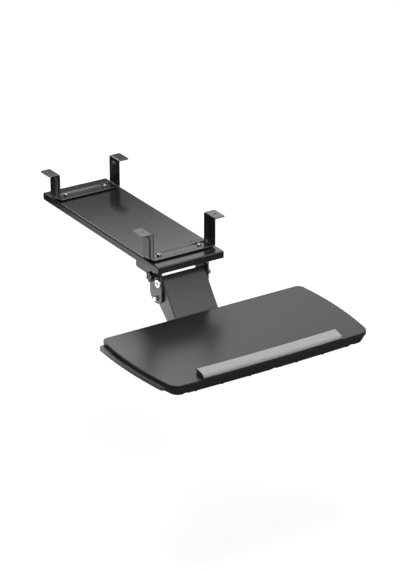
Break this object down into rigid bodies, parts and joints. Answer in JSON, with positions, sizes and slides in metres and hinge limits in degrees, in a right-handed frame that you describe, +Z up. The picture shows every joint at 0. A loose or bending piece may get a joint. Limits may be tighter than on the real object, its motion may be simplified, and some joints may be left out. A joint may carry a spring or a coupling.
{
  "type": "under-desk keyboard tray",
  "caption": "Keyboard tray hung under a desk: rounded board with padded palm rest and slide-out mouse platform, on a tilting, lifting, swivelling arm that slides along a track.",
  "frame": {"origin": "centre of the four desk screws, on the plane of the hangers' feet that lies against the desk's underside", "axes": "+X to the right of the seated user, +Y away from the user along the track, +Z up to the desk"},
  "size_m": [0.6278, 0.9837, 0.3117],
  "materials": {
    "black_steel": "satin black powder coat",
    "bright_steel": "bright plated fasteners",
    "zinc_steel": "dull zinc plate",
    "rubber": "matt",
    "nylon": "natural nylon",
    "black_plastic": "glossy black moulding",
    "laminate_board": "dark grey laminate on fibreboard",
    "edge_strip": "black edge strip",
    "moulded_plastic": "fine-grained black moulding",
    "mouse_plastic": "dark grey moulding",
    "pad_fabric": "grey knitted cloth over foam"
  },
  "bodies": {
    "track": {"mounting_plate": "black_steel", "front_hanger": "black_steel", "rear_hanger": "black_steel", "strap_screws": "bright_steel", "strap_nuts": "bright_steel", "left_rail": "zinc_steel", "right_rail": "zinc_steel", "rail_bumpers": "rubber"},
    "carriage": {"carriage_plate": "zinc_steel", "glides": "nylon", "swivel_ring": "nylon", "swivel_bolt": "bright_steel", "swivel_washer": "zinc_steel", "swivel_nut": "bright_steel"},
    "bracket": {"swivel_bracket": "black_steel", "friction_plates": "black_plastic", "upper_pivot_bolt": "bright_steel", "upper_pivot_nut": "bright_steel", "lower_pivot_bolt": "bright_steel", "lower_pivot_nut": "bright_steel", "stop_sleeves": "zinc_steel", "lower_spacer_tube": "zinc_steel", "knob_boss": "zinc_steel"},
    "knob": {"lock_knob": "black_plastic", "knob_screw": "bright_steel"},
    "arm": {"arm_cover": "black_steel", "arm_upper_tube": "zinc_steel", "arm_lower_tube": "zinc_steel"},
    "link": {"link_bars": "black_steel"},
    "head": {"head_bracket": "black_steel", "head_bolts": "bright_steel", "head_nuts": "bright_steel", "head_washers": "nylon", "head_spacers": "zinc_steel", "tilt_bolt": "bright_steel", "tilt_nut": "bright_steel"},
    "tray": {"tray_board": "laminate_board", "edge_band": "edge_strip", "tilt_plate": "black_steel", "lower_shell_left": "moulded_plastic", "lower_shell_right": "moulded_plastic", "mouse_rails": "zinc_steel", "tray_screws": "bright_steel", "palm_rest_base": "moulded_plastic", "palm_rest": "pad_fabric"},
    "mouse": {"mouse_tray": "mouse_plastic"}
  },
  "joints": [
    {"name": "track_slide", "type": "slide", "parent": "track", "child": "carriage", "axis": [0, -1, 0], "range_m": [-0.434, 0]},
    {"name": "swivel", "type": "hinge", "parent": "carriage", "child": "bracket", "pos_m": [0, -0.2, -0.1], "axis": [0, 0, 1], "range_deg": [-90, 90]},
    {"name": "knob_turn", "type": "hinge", "parent": "bracket", "child": "knob", "pos_m": [-0.08, -0.2368, -0.1317], "axis": [-1, 0, 0], "range_deg": [0, 180]},
    {"name": "arm_lift", "type": "hinge", "parent": "bracket", "child": "arm", "pos_m": [0, -0.2554, -0.1469], "axis": [-1, 0, 0], "range_deg": [0, 60]},
    {"name": "link_swing", "type": "hinge", "parent": "bracket", "child": "link", "pos_m": [0, -0.2444, -0.194], "axis": [-1, 0, 0], "range_deg": [0, 60]},
    {"name": "head_level", "type": "hinge", "parent": "arm", "child": "head", "pos_m": [0, -0.33382, -0.25059], "axis": [-1, 0, 0], "range_deg": [-60, 0]},
    {"name": "tray_tilt", "type": "hinge", "parent": "head", "child": "tray", "pos_m": [0, -0.38502, -0.23799], "axis": [-1, 0, 0], "range_deg": [-15, 15]},
    {"name": "mouse_slide", "type": "slide", "parent": "tray", "child": "mouse", "axis": [-1, 0, 0], "range_m": [0, 0.18]}
  ],
  "couplings": [
    {"joint": "link_swing", "follows": "arm_lift", "ratio": 1},
    {"joint": "head_level", "follows": "arm_lift", "ratio": -1}
  ]
}
